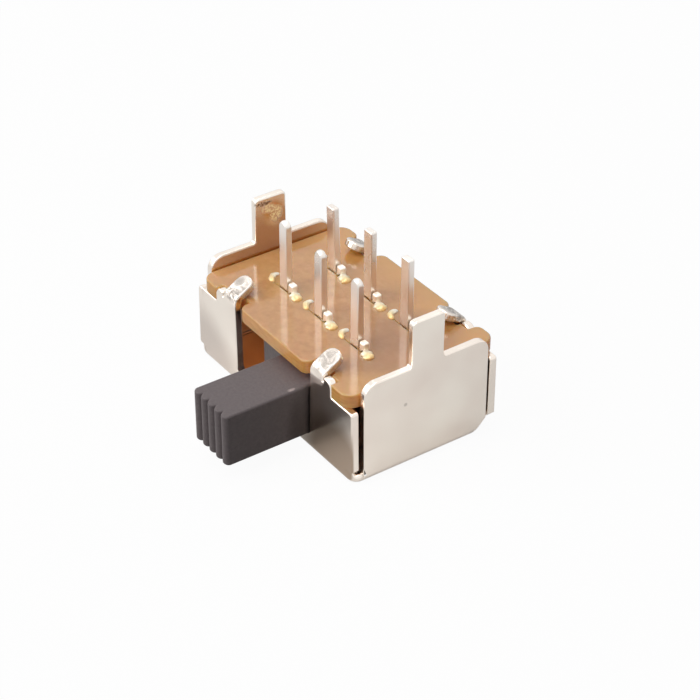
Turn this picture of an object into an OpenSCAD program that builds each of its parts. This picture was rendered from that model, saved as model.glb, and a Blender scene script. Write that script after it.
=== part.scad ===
// Right-angle miniature slide switch, two poles and two positions, for a circuit board.
// Millimetres. X runs along the rows of pins and along the slide, the handle comes out
// at -Y, and the pins stand up along +Z. The origin is the middle of the steel frame's
// bottom face, which is what the switch stands on.

/* [Frame] */
// Overall length, over the outer faces of the two end walls
body_l = 11.3; // [10.2:0.1:14]
// Overall width, over the outer faces of the two long walls
body_w = 7.0; // [6.7:0.1:9]
// Thickness of the steel sheet
sheet_t = 0.35; // [0.25:0.01:0.4]
// Inner radius of the folds round the bottom
fold_r = 0.06; // [0.04:0.01:0.15]
// How far each end of a long wall stops short of the end wall's outer face
wall_inset = 0.1; // [0.05:0.01:0.2]
// Height of the long walls' shoulders, which the terminal board lies on
shoulder_h = 3.45; // [3.2:0.05:4.5]
// Width of the slit between each end wall and the long walls
slit_w = 0.17; // [0.1:0.01:0.25]
// Height of each end wall
end_wall_h = 4.6; // [4.3:0.05:6]
// Radius of the end walls' top corners
end_corner_r = 0.6; // [0.2:0.05:1]
// Width of each mounting leg
leg_w = 1.52; // [1:0.02:2.5]
// How far each mounting leg stands above its end wall
leg_h = 2.05; // [1:0.05:4]
// Radius of the legs' tip corners
leg_corner_r = 0.2; // [0.05:0.05:0.4]
// Radius at the foot of each leg
leg_foot_r = 0.14; // [0.05:0.01:0.3]
// Radius of the long walls' top corners
wall_corner_r = 0.16; // [0.05:0.01:0.3]
// How much larger the front corners' radius is than the folds' outer radius
corner_extra = 0.09; // [0.06:0.01:0.12]
// Height at which the slits between the walls begin
slit_z = 0.72; // [0.6:0.01:0.9]
// Radius of the relief hole at the foot of each front slit
relief_r = 0.13; // [0.08:0.01:0.2]
// Height of the slanted cut at the rear corners
rear_cut_h = 0.72; // [0.5:0.02:1]
// Radius of the two detent holes in the bottom
detent_hole_r = 0.3; // [0.2:0.05:0.4]

/* [Handle window] */
// Height of the sill under the handle
sill_h = 0.72; // [0.5:0.02:0.9]
// Radius of the window's lower corners
window_corner_r = 0.25; // [0.1:0.01:0.3]

/* [Crimps] */
// Distance from the window's edge to the outer edge of each lug
lug_w = 1.5; // [1.2:0.05:1.8]
// How far each lug stands above the top of the board
lug_proud = 0.05; // [0:0.01:0.2]
// Radius of each lug's outer top corner
lug_corner_r = 0.34; // [0.1:0.02:0.5]
// Distance from the window's edge to each crimping tab
tab_inset = 0.05; // [0.02:0.01:0.2]
// Width of each crimping tab
tab_w = 0.88; // [0.6:0.02:1]
// Length of each tab beyond its bend
tab_l = 0.75; // [0.6:0.05:1]
// Radius of the tabs' tip corners
tab_tip_r = 0.42; // [0.1:0.02:0.42]
// Inner radius of the tabs' bends
crimp_r = 0.1; // [0.05:0.01:0.2]
// Slope of the bent tabs above the board, in degrees
tab_slope = 30; // [0:1:40]
// How far each tab's root reaches down into its wall
tab_root = 0.1; // [0.05:0.01:0.2]

/* [Terminal board] */
// How far the board's edges stand out beyond the long walls, before it is shifted
board_over = 0.08; // [0.02:0.02:0.2]
// How far the board and its pins lie behind the middle of the frame
board_shift = 0.08; // [0:0.02:0.16]
// Thickness of the board
board_t = 0.62; // [0.4:0.02:1]
// Gap between the board's ends and the end walls
board_end_gap = 0.06; // [0.02:0.01:0.2]
// Radius of the board's corners
board_corner_r = 0.55; // [0.2:0.05:0.8]
// Gap between the sides of a notch in the board and the steel in it
notch_gap = 0.1; // [0.05:0.01:0.2]
// How much further a notch reaches towards the window than its side's gap
notch_reach = 0.15; // [0.05:0.01:0.3]
// Gap between the end of a notch and the wall in it
notch_depth_gap = 0.2; // [0.1:0.01:0.3]
// Radius of the corners where a notch opens
notch_corner_r = 0.38; // [0.1:0.02:0.5]
// Gap between a tab's underside and the board
tab_gap = 0.02; // [0.01:0.01:0.05]
// Gap round a terminal in its slot
slot_gap = 0.06; // [0.03:0.01:0.12]

/* [Terminals] */
// Distance between neighbouring pins in a row
pitch = 2.5; // [2.2:0.05:3]
// Distance between the two rows
row_gap = 2.4; // [2.3:0.05:3]
// Thickness of the terminal stock
stock_t = 0.3; // [0.2:0.02:0.34]
// Width of each pin
pin_w = 0.52; // [0.4:0.02:0.7]
// Height of the pins above the board
pin_h = 3.15; // [2:0.05:5]
// How much shorter the second and third front pins are
front_pin_short = 0.1; // [0:0.05:0.4]
// How much shorter the first rear pin is
first_pin_short = 0.2; // [0:0.05:0.4]
// Radius of the tip corners of the front pins
front_tip_r = 0.22; // [0.05:0.01:0.25]
// Radius of the tip corners of the rear pins
rear_tip_r = 0.06; // [0.05:0.01:0.25]
// Lean of the first rear pin, in degrees
first_pin_lean = 3; // [0:0.5:5]
// Width of the part of a terminal that fills its slot
root_w = 1.34; // [1.2:0.02:1.8]
// Width of the shoulders under the board
shoulder_w = 1.9; // [1.7:0.05:2]
// Height of the shoulders under the board
shoulder_t = 0.3; // [0.2:0.05:0.4]
// Width of the contact blade
blade_w = 1.5; // [1.2:0.05:1.6]
// Radius of the blade's lower corners
blade_corner_r = 0.3; // [0.1:0.05:0.5]
// Height of the blade's lower end above the slider's channel floor
blade_clear = 0.85; // [0.5:0.05:1]
// Width of the small staking prong beside each pin
prong_w = 0.34; // [0.2:0.02:0.4]
// Height of the prong above the board
prong_h = 0.42; // [0.1:0.02:0.6]
// Gap between the prong and the pin
prong_gap = 0.06; // [0.03:0.01:0.1]

/* [Slider] */
// Travel of the handle from one end to the other
travel = 2.8; // [2.2:0.05:3.2]
// Width of the handle along the slide
handle_w = 2.4; // [2:0.05:3]
// Height of the handle
handle_h = 2.35; // [1.6:0.05:2.4]
// How far the handle stands out of the frame
handle_out = 3.8; // [2:0.05:9]
// Gap under the handle, above the sill
handle_clear = 0.06; // [0.05:0.01:0.2]
// Gap beside the handle at each end of its travel
stop_gap = 0.05; // [0.02:0.01:0.1]
// Radius of the handle's long edges
handle_edge_r = 0.12; // [0.08:0.01:0.2]
// Number of ribs on the handle's end
rib_n = 5; // [3:1:8]
// Height of each rib
rib_depth = 0.18; // [0.1:0.01:0.22]
// Thickness of the slider's body beyond each end of the contact clips
carriage_end = 0.5; // [0.4:0.05:0.6]
// Gap between the slider's body and the frame
carriage_gap = 0.1; // [0.05:0.01:0.15]
// Gap between the slider's body and the board above it
carriage_top_gap = 0.2; // [0.1:0.01:0.3]
// Height of the channel floor above the underside of the slider's body
channel_floor = 0.35; // [0.25:0.05:0.5]

/* [Contact clips] */
// Thickness of the clip's spring sheet
clip_t = 0.12; // [0.08:0.01:0.16]
// Length of each clip beyond the middle of its contacts
clip_end = 0.95; // [0.8:0.05:1.1]
// Width over each clip's two walls
clip_w = 0.96; // [0.9:0.02:1]
// Height of each clip
clip_h = 2.0; // [1.7:0.05:2.1]
// Running gap between a contact and its blade
contact_gap = 0.03; // [0.02:0.01:0.05]
// Radius of the bowed contacts
bow_r = 0.7; // [0.6:0.02:0.8]
// Width of the slit that parts a clip's two contacts
clip_slit = 0.3; // [0.1:0.05:0.5]
// Gap between a clip and the sides of its channel
clip_gap = 0.04; // [0.02:0.01:0.06]

/* [Detent] */
// Diameter of the detent ball
ball_d = 0.9; // [0.8:0.02:0.96]
// Running gap between the ball and what it runs on
ball_gap = 0.03; // [0.02:0.01:0.05]
// Wire diameter of the detent spring
wire_d = 0.12; // [0.08:0.01:0.14]
// Turns of the detent spring
spring_turns = 6; // [4:1:8]
// Depth of the spring's pocket in the slider
pocket_depth = 2.1; // [1.6:0.05:2.3]

/* [Hidden] */
$fn = 48;
eps = 0.01;
coil_steps = 14;
coil_sides = 8;

steel = "#d8d0c6";
board_tan = "#c99a6e";
handle_grey = "#57524f";
tin = "#d9cfc4";
bronze = "#c79a55";

// Folds and walls
half_l = body_l / 2;
half_w = body_w / 2;
out_r = fold_r + sheet_t;
inner_y = half_w - sheet_t;
inner_x = half_l - sheet_t;
corner_r = out_r + corner_extra;
long_wall_half = half_l - wall_inset;
end_wall_half = inner_y - slit_w;

// Slanted cuts at the rear corners: where they meet the bottom
cut_x = long_wall_half - rear_cut_h;
cut_y = end_wall_half - rear_cut_h;

// Board and terminals
board_top = shoulder_h + board_t;
board_half_l = inner_x - board_end_gap;
board_w = body_w + 2 * board_over;
pin_top = board_top + pin_h;
row_y = [board_shift - row_gap / 2, board_shift + row_gap / 2];
column_x = [-pitch, 0, pitch];

// Handle and window: the window leaves the handle its travel and the two stop gaps
window_half = (handle_w + travel) / 2 + stop_gap;
handle_z = sill_h + handle_clear;
rest_x = travel / 2;

// Lugs and tabs: a tab's underside just clears the top edge of its notch in the board
lug_out = window_half + lug_w;
lug_top = board_top + lug_proud;
tab_in = window_half + tab_inset;
tab_out = tab_in + tab_w;
notch_in = window_half - notch_gap - notch_reach;
notch_out = lug_out + notch_gap;
notch_y = inner_y - notch_depth_gap;
bend_y = inner_y - crimp_r;
bend_z = board_top - (crimp_r - tab_gap + sin(tab_slope) * (bend_y - notch_y)) / cos(tab_slope);

// Slider and clips
clip_l = pitch + 2 * clip_end;
carriage_l = clip_l + 2 * carriage_end;
carriage_z = sheet_t + carriage_gap;
carriage_top = shoulder_h - carriage_top_gap;
carriage_half_w = inner_y - carriage_gap;
channel_z = carriage_z + channel_floor;
channel_half_w = clip_w / 2 + clip_gap;
blade_z = channel_z + blade_clear;

// Detent: the ball runs just above the bottom, and the spring fills the rest of the pocket
ball_r = ball_d / 2;
ball_z = sheet_t + ball_gap + ball_r;
pocket_r = ball_r + ball_gap;
pocket_top = carriage_z + pocket_depth;
spring_z = ball_z + ball_r + ball_gap + wire_d / 2;
spring_top = pocket_top - ball_gap - wire_d / 2;
coil_r = ball_r - wire_d;

// Points along an arc about a centre, from angle a0 to angle a1
function arc(centre, r, a0, a1, n = 8) =
    [for (i = [0 : n]) let (a = a0 + (a1 - a0) * i / n) centre + r * [cos(a), sin(a)]];

// A rectangle from x0 to x1 and from y0 to y1, with its two top corners rounded
module tombstone(x0, x1, y0, y1, r) {
    translate([x0, y0]) square([x1 - x0, y1 - y0 - r]);
    translate([x0 + r, y0]) square([x1 - x0 - 2 * r, y1 - y0]);
    for (x = [x0 + r, x1 - r]) translate([x, y1 - r]) circle(r);
}

// A rectangle centred on X and Y with all its corners rounded
module rounded_rect(l, w, r) {
    square([l - 2 * r, w], center = true);
    square([l, w - 2 * r], center = true);
    for (x = [-1, 1], y = [-1, 1]) translate([x * (l / 2 - r), y * (w / 2 - r)]) circle(r);
}

// Fills the inner corner at the origin, between +X and +Y, with a fillet
module fillet(r) {
    difference() {
        translate([-eps, -eps]) square(r + eps);
        translate([r, r]) circle(r);
    }
}

// Stands an outline drawn in X and Z up at a wall of thickness t whose outer face is at y
module stand_xz(y, t) {
    translate([0, y, 0]) rotate([90, 0, 0]) linear_extrude(t) children();
}

// Stands an outline drawn in Y and Z up, from x to x + t
module stand_yz(x, t) {
    translate([x, 0, 0]) rotate([90, 0, 90]) linear_extrude(t) children();
}

// Section of the sheet from the origin to a bend, round it, and up the foot of its wall to the slits
module fold_section(bend = 0) {
    centre = [bend, out_r];
    polygon(concat([[0, 0]], arc(centre, out_r, -90, 0), [[bend + out_r, slit_z], [bend + fold_r, slit_z]],
        arc(centre, fold_r, 0, -90), [[0, sheet_t]]));
}

// The bottom with its four folds and its two rounded front corners
module pan() {
    plate_x = half_l - out_r;
    plate_y = half_w - out_r;
    corner_x = half_l - corner_r;
    corner_y = half_w - corner_r;
    right = [[corner_x, -plate_y], [corner_x, -corner_y], [plate_x, -corner_y],
        [plate_x, cut_y], [cut_x, plate_y]];
    left = [for (i = [len(right) - 1 : -1 : 0]) [-right[i][0], right[i][1]]];
    linear_extrude(sheet_t) polygon(concat(right, left));
    translate([-corner_x, 0, 0]) mirror([0, 1, 0]) translate([0, plate_y, 0]) {
        stand_yz(0, 2 * corner_x) fold_section();
    }
    translate([-long_wall_half, plate_y, 0]) stand_yz(0, 2 * long_wall_half) fold_section();
    for (s = [0, 1]) mirror([s, 0, 0]) {
        translate([plate_x, 0, 0]) stand_xz(end_wall_half, end_wall_half + corner_y) fold_section();
        translate([corner_x, -corner_y, 0]) rotate(-90) rotate_extrude(angle = 90) fold_section(corner_extra);
    }
}

// Outline of a long wall, between its fold and its shoulders, with its lugs
module long_wall_outline() {
    tombstone(-long_wall_half, long_wall_half, slit_z - sheet_t / 2, shoulder_h, wall_corner_r);
    foot_z = shoulder_h - eps;
    for (s = [-1, 1]) scale([s, 1]) {
        translate([window_half, foot_z]) square([tab_out - window_half, bend_z - foot_z]);
        difference() {
            translate([tab_out + eps, foot_z]) square([lug_out - tab_out - eps, lug_top - foot_z]);
            translate([lug_out, lug_top]) rotate(180) fillet(lug_corner_r);
        }
    }
}

// The window that the handle moves in, open at the top
module window_outline() {
    difference() {
        translate([-window_half, sill_h]) square([2 * window_half, lug_top]);
        for (s = [-1, 1]) scale([s, 1]) translate([-window_half, sill_h]) fillet(window_corner_r);
    }
}

// Outline of an end wall with its mounting leg
module end_wall_outline() {
    tombstone(-end_wall_half, end_wall_half, slit_z - sheet_t / 2, end_wall_h, end_corner_r);
    tombstone(-leg_w / 2, leg_w / 2, end_wall_h - eps, end_wall_h + leg_h, leg_corner_r);
    for (s = [-1, 1]) scale([s, 1]) translate([leg_w / 2, end_wall_h]) fillet(leg_foot_r);
}

// One crimped tab of the front wall at +X: the bend over the board's edge and the sloping tab
module tab() {
    bend_r = crimp_r + sheet_t;
    along = 2 * tab_l * [cos(tab_slope), sin(tab_slope)];
    outside = arc([0, 0], bend_r, 180, 90 + tab_slope);
    inside = arc([0, 0], crimp_r, 90 + tab_slope, 180);
    tip = [outside[len(outside) - 1] + along, inside[0] + along];
    round_y = tab_l - tab_tip_r;
    translate([0, -bend_y, bend_z]) intersection() {
        stand_yz(tab_in - eps, tab_w + 2 * eps) {
            polygon(concat([[-bend_r, -tab_root]], outside, tip, inside, [[-crimp_r, -tab_root]]));
        }
        rotate([tab_slope, 0, 0]) translate([0, 0, -bend_r]) linear_extrude(3 * bend_r) {
            polygon(concat([[tab_in, -2 * bend_r], [tab_out, -2 * bend_r]],
                arc([tab_out - tab_tip_r, round_y], tab_tip_r, 0, 90),
                arc([tab_in + tab_tip_r, round_y], tab_tip_r, 90, 180)));
        }
    }
}

// The slanted cuts that open one rear corner of the folds, at +X, and reach a little past them
module rear_corner_cut() {
    over = corner_r;
    past = 5 * eps;
    stand_yz(half_l - out_r - past, 2 * out_r + past) {
        polygon([[cut_y - over, -over], [end_wall_half + eps, -over], [end_wall_half + eps, rear_cut_h + eps]]);
    }
    stand_xz(half_w + out_r, 2 * out_r + past) {
        polygon([[cut_x - over, -over], [half_l + over, -over], [half_l + over, half_l + over - cut_x]]);
    }
}

module frame() {
    color(steel) difference() {
        union() {
            pan();
            stand_xz(-inner_y, sheet_t) difference() {
                long_wall_outline();
                window_outline();
            }
            stand_xz(half_w, sheet_t) long_wall_outline();
            for (x = [-half_l, inner_x]) stand_yz(x, sheet_t) end_wall_outline();
            for (sx = [0, 1], sy = [0, 1]) mirror([sx, 0, 0]) mirror([0, sy, 0]) tab();
        }
        for (sx = [0, 1]) mirror([sx, 0, 0]) {
            rear_corner_cut();
            translate([inner_x - sheet_t, -inner_y, slit_z]) rotate([0, 90, 0]) {
                cylinder(r = relief_r, h = 3 * sheet_t);
            }
            translate([rest_x, board_shift, -sheet_t]) cylinder(r = detent_hole_r, h = 3 * sheet_t);
        }
    }
}

// Outline of the board, with its four notches
module board_outline() {
    difference() {
        translate([0, board_shift]) rounded_rect(2 * board_half_l, board_w, board_corner_r);
        for (s = [-1, 1], u = [-1, 1]) {
            edge_y = board_w / 2 + u * board_shift;
            scale([s, u]) {
                translate([notch_in, notch_y]) square([notch_out - notch_in, 1]);
                translate([notch_in, edge_y]) rotate(180) fillet(notch_corner_r);
            }
        }
    }
}

module terminal_board() {
    color(board_tan) translate([0, 0, shoulder_h]) linear_extrude(board_t) difference() {
        board_outline();
        for (x = column_x, y = row_y) translate([x, y]) {
            square([root_w + 2 * slot_gap, stock_t + 2 * slot_gap], center = true);
        }
    }
}

// One stamped terminal, drawn in X and Z: pin, prong, root, shoulders and contact blade
module terminal_outline(tip_r, short, lean) {
    half_pin = pin_w / 2;
    translate([0, board_top]) rotate(lean) tombstone(-half_pin, half_pin, -slot_gap, pin_h - short, tip_r);
    translate([half_pin + prong_gap, board_top - eps]) square([prong_w, prong_h + eps]);
    translate([-root_w / 2, shoulder_h - eps]) square([root_w, board_t + eps]);
    translate([-shoulder_w / 2, shoulder_h - shoulder_t]) square([shoulder_w, shoulder_t]);
    translate([0, shoulder_h]) rotate(180) {
        tombstone(-blade_w / 2, blade_w / 2, 0, shoulder_h - blade_z, blade_corner_r);
    }
}

module terminal(x, y, tip_r, short = 0, lean = 0) {
    color(tin) translate([x, 0, 0]) stand_xz(y + stock_t / 2, stock_t) terminal_outline(tip_r, short, lean);
}

module front_terminal(i, short = 0) {
    terminal(column_x[i], row_y[0], front_tip_r, short);
}

module rear_terminal(i, short = 0, lean = 0) {
    terminal(column_x[i], row_y[1], rear_tip_r, short, lean);
}

// Section of the handle, drawn in X and Z about the middle of the handle
module handle_section() {
    translate([0, handle_h / 2]) rounded_rect(handle_w, handle_h, handle_edge_r);
}

// Plan of the handle, from the slider's body out to its ribbed end
module handle_plan() {
    rib_w = handle_w / rib_n;
    rib_r = (rib_w * rib_w / 4 + rib_depth * rib_depth) / (2 * rib_depth);
    tip_y = -half_w - handle_out;
    root_y = tip_y + rib_depth;
    intersection() {
        union() {
            translate([-handle_w / 2, root_y]) square([handle_w, -carriage_half_w - root_y + eps]);
            for (i = [0 : rib_n - 1]) {
                translate([(i + 0.5 - rib_n / 2) * rib_w, tip_y + rib_r]) circle(rib_r);
            }
        }
        translate([-handle_w / 2, tip_y - 1]) square([handle_w, half_w + handle_out + 1]);
    }
}

module handle() {
    intersection() {
        translate([0, 0, handle_z]) linear_extrude(handle_h) handle_plan();
        translate([0, 0, handle_z]) stand_xz(0, half_w + handle_out + 1) handle_section();
    }
}

module slider() {
    color(handle_grey) translate([rest_x, 0, 0]) difference() {
        union() {
            translate([-carriage_l / 2, -carriage_half_w, carriage_z]) {
                cube([carriage_l, 2 * carriage_half_w, carriage_top - carriage_z]);
            }
            handle();
        }
        for (y = row_y) translate([-carriage_l / 2 - 1, y - channel_half_w, channel_z]) {
            cube([carriage_l + 2, 2 * channel_half_w, carriage_top]);
        }
        translate([0, board_shift, carriage_z - 1]) cylinder(r = pocket_r, h = pocket_depth + 1);
    }
}

// Half of a clip's plan, at +Y of its blades: a straight wall with two contacts bowed inwards
module clip_wall_plan() {
    bow_y = stock_t / 2 + contact_gap + bow_r;
    difference() {
        union() {
            translate([-clip_l / 2, clip_w / 2 - clip_t]) square([clip_l, clip_t]);
            for (x = [-pitch / 2, pitch / 2]) translate([x, bow_y]) circle(bow_r);
        }
        for (x = [-pitch / 2, pitch / 2]) translate([x, bow_y]) circle(bow_r - clip_t);
        translate([-clip_l, clip_w / 2]) square([2 * clip_l, 2 * bow_r]);
    }
}

// A bronze clip that bridges two neighbouring blades of one row
module contact_clip(y) {
    color(bronze) translate([rest_x, y, channel_z]) difference() {
        union() {
            translate([-clip_l / 2, -clip_w / 2, 0]) cube([clip_l, clip_w, clip_t]);
            linear_extrude(clip_h) for (s = [-1, 1]) scale([1, s]) clip_wall_plan();
        }
        translate([-clip_slit / 2, -clip_w, 3 * clip_t]) cube([clip_slit, 2 * clip_w, clip_h]);
    }
}

module detent_ball() {
    color(steel) translate([rest_x, board_shift, ball_z]) sphere(ball_r);
}

// A tube of radius wire_d / 2 swept up a helix, as one closed mesh
module coil(r, z0, z1, turns) {
    n = coil_sides;
    rings = coil_steps * turns;
    points = [for (i = [0 : rings], j = [0 : n - 1])
        let (a = 360 * i / coil_steps, b = 360 * j / n, d = r + wire_d / 2 * cos(b))
        [d * cos(a), d * sin(a), z0 + (z1 - z0) * i / rings + wire_d / 2 * sin(b)]];
    skin = [for (i = [0 : rings - 1], j = [0 : n - 1])
        let (k = (j + 1) % n) [i * n + j, (i + 1) * n + j, (i + 1) * n + k, i * n + k]];
    caps = [[for (j = [0 : n - 1]) j], [for (j = [0 : n - 1]) rings * n + n - 1 - j]];
    polyhedron(points, concat(skin, caps), convexity = 10);
}

module detent_spring() {
    color(steel) translate([rest_x, board_shift, 0]) coil(coil_r, spring_z, spring_top, spring_turns);
}

frame();
terminal_board();
slider();
front_terminal(0);  // terminal_front_1
front_terminal(1, front_pin_short);  // terminal_front_2
front_terminal(2, front_pin_short);  // terminal_front_3
rear_terminal(0, first_pin_short, first_pin_lean);  // terminal_rear_1
rear_terminal(1);  // terminal_rear_2
rear_terminal(2);  // terminal_rear_3
contact_clip(row_y[0]);  // contact_clip_front
contact_clip(row_y[1]);  // contact_clip_rear
detent_ball();
detent_spring();
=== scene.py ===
# %% [markdown]
# # A miniature slide switch
# The switch is a folded steel case, a terminal board with six pins, and a dark handle that slides in the
# case's front window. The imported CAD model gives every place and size. Here each visible piece gets a
# smooth mesh worked out with numpy, with softly rounded cut edges, and a finish made from nodes.

# %% Load the frame and keep the CAD model's box
import bpy
from collections import namedtuple
from math import acos, asin, cos, pi, radians, sin
import numpy as np
from mathutils import Matrix, Vector
from mathutils.geometry import delaunay_2d_cdt


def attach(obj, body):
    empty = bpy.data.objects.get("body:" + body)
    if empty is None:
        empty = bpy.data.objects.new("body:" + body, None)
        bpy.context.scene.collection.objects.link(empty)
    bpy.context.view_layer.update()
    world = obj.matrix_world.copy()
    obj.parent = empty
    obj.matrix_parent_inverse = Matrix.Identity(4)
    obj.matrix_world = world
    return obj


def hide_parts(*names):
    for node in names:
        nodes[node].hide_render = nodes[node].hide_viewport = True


MM = 0.001
scene = bpy.context.scene
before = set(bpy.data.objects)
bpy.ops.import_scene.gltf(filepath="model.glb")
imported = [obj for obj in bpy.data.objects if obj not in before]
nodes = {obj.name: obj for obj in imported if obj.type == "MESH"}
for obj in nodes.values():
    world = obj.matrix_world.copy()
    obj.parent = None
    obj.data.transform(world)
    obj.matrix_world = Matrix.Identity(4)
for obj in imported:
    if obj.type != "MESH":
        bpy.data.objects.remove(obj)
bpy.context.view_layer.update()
print("nodes:", sorted(nodes))

# %% [markdown]
# ## Sizes
# They are in millimetres, and nearly all are the CAD model's own. Faces and heights have names, so that an
# outline reads like a drawing.

# %% Sizes of the case
HALF_L, HALF_W, SHEET = 5.65, 3.5, 0.35
OUT_R = 0.41  # outer radius of the folds
PLATE_X, PLATE_Y = HALF_L - OUT_R, HALF_W - OUT_R  # where the flat bottom ends
CORNER_X, CORNER_Y, CORNER_R = 5.15, 3.0, 0.5  # middles and radius of the two drawn front corners
WALL_HALF, END_HALF = 5.55, 2.98  # half lengths of the long walls and of the end walls
SHOULDER, END_TOP, LEG_TOP = 3.45, 4.6, 6.65  # tops of the long walls, the end walls and the legs
LEG_HALF = 0.76
SLIT_Z, SILL = 0.72, 0.72  # feet of the slits between the walls, and of the window
FRONT_SLIT_Z = SLIT_Z - 0.1
CUT_X, CUT_Y = WALL_HALF - 0.72, END_HALF - 0.72  # where the slanted rear cuts meet the bottom
DETENT_X, DETENT_Y, DETENT_R = 1.4, -0.08, 0.3
EDGE, FINE_EDGE = 0.085, 0.03  # rounding of the sheared edges, and of holes and slit feet
print("flat bottom:", round(2 * PLATE_X, 2), "by", round(2 * PLATE_Y, 2), "mm")

# %% Sizes of the window, the lugs and the tabs
WINDOW, LUG_OUT, LUG_TOP = 2.65, 4.15, 4.12
TAB_IN, TAB_OUT, TAB_L, TAB_TIP_R = 2.70, 3.58, 0.92, 0.42
LUG_SLIT = TAB_OUT + 0.03  # inner edge of a lug, past the slit beside its tab
BEND_Y, BEND_R, TAB_SLOPE = 3.05, 0.45, radians(30)
BOARD_TOP = 4.07
CRIMP_R, TAB_GAP = 0.1, 0.02  # inner radius of the bend, and the tab's gap over the board
NOTCH_BACK = 0.1  # how far in from the bend the board's edge lies
BEND_Z = BOARD_TOP - (CRIMP_R - TAB_GAP + sin(TAB_SLOPE) * NOTCH_BACK) / cos(TAB_SLOPE)
print("bend of the tabs at z =", round(BEND_Z, 3))

# %% [markdown]
# ## Outlines
# Every stamped or moulded piece starts as a flat outline. One function rounds its corners, and one adds
# points where it crosses the lines of a fold, so that the fold bends evenly.

# %% Outline helpers
def rounded(corners, step=0.03):
    """A closed outline from (x, y, radius) corners. Each corner is cut back on both sides and joined by an
    arc c + r (-cos t m + sin t n), with m along the bisector."""
    out = []
    pts = np.array([c[:2] for c in corners], float)
    for i, (x, y, r) in enumerate(corners):
        p, a, b = pts[i], pts[i - 1], pts[(i + 1) % len(pts)]
        u, v = (a - p) / np.linalg.norm(a - p), (b - p) / np.linalg.norm(b - p)
        half = acos(np.clip(u @ v, -1, 1)) / 2
        if r == 0 or abs(half - pi / 2) < 1e-4:
            out.append(p[None])
            continue
        mid = (u + v) / np.linalg.norm(u + v)
        centre = p + mid * r / sin(half)
        side = u - (u @ mid) * mid
        side /= np.linalg.norm(side)
        turn = pi - 2 * half
        t = np.linspace(turn / 2, -turn / 2, max(4, int(r * turn / step)) + 1)[:, None]
        out.append(centre + r * (-np.cos(t) * mid + np.sin(t) * side))
    return np.concatenate(out)


def crossed(loop, heights):
    """The outline with a point added wherever an edge crosses one of the heights: the fraction along an edge
    is (height - start) / (end - start)."""
    start, end = loop, np.roll(loop, -1, 0)
    rise = end[:, 1] - start[:, 1]
    t = (np.asarray(heights)[None] - start[:, 1:]) / np.where(abs(rise) < 1e-9, 1e9, rise)[:, None]
    edge, line = np.nonzero((t > 0.02) & (t < 0.98))
    f = t[edge, line]
    new = start[edge] + f[:, None] * (end - start)[edge]
    order = np.argsort(np.concatenate([np.arange(len(loop)), edge + f]), kind="stable")
    return np.concatenate([loop, new])[order]


def mirrored(corners):
    """The same corners on the other side of x = 0, in reverse order."""
    return [(-x, y, r) for x, y, r in reversed(corners)]


def circle(x, y, r, steps=24):
    """A clockwise circle, for a hole: x + r cos a, y - r sin a."""
    a = np.arange(steps) * 2 * pi / steps
    return np.stack([x + r * np.cos(a), y - r * np.sin(a)], 1)


def inside(points, loops):
    """True where a ray from the point crosses the loops' edges an odd number of times."""
    hit = np.zeros(len(points), int)
    for loop in loops:
        a, b = loop[None], np.roll(loop, -1, 0)[None]
        p = points[:, None]
        spans = (a[..., 1] > p[..., 1]) != (b[..., 1] > p[..., 1])
        rise = np.where(spans, b[..., 1] - a[..., 1], 1)
        x = a[..., 0] + (p[..., 1] - a[..., 1]) * (b[..., 0] - a[..., 0]) / rise
        hit += (spans & (p[..., 0] < x)).sum(1)
    return hit % 2 == 1


print("square with round corners:", len(rounded([(0, 0, .1), (1, 0, .1), (1, 1, .1), (0, 1, .1)])), "points")

# %% [markdown]
# ## A slab with rounded edges
# Sheared sheet, a punched board and a moulded bar are all slabs: a flat outline, a thickness, and edges
# that are never quite sharp. A bevel modifier could round them, but its normals make a mirror finish ripple
# on long thin faces. Here the rounding and the exact normal of every point are worked out directly.

# %% The slab's flat faces and its rounded sides
CLEAR = 0.02  # the least distance of an inner point from an outline


def triangulated(loops, extra):
    """The area inside the loops as triangles. Gives the extra points well inside it, and the triangles'
    corners, counted through the loops' points and then those extra ones."""
    flat, edges, at = np.concatenate(loops), [], 0
    for n in map(len, loops):
        edges += [(at + i, at + (i + 1) % n) for i in range(n)]
        at += n
    if len(extra):
        extra = extra[inside(extra, loops)]
        gap = np.linalg.norm(extra[:, None] - flat[None], axis=-1).min(1)
        extra = extra[gap > CLEAR]
    points = np.concatenate([flat, extra])
    _, _, tris, origin, _, _ = delaunay_2d_cdt([Vector(p) for p in points], edges, [], 0, 1e-7)
    source = np.array([o[0] if o else -1 for o in origin])
    tris = source[np.array(tris)]
    tris = tris[(tris >= 0).all(1)]
    return extra, tris[inside(points[tris].mean(1), loops)]


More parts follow.
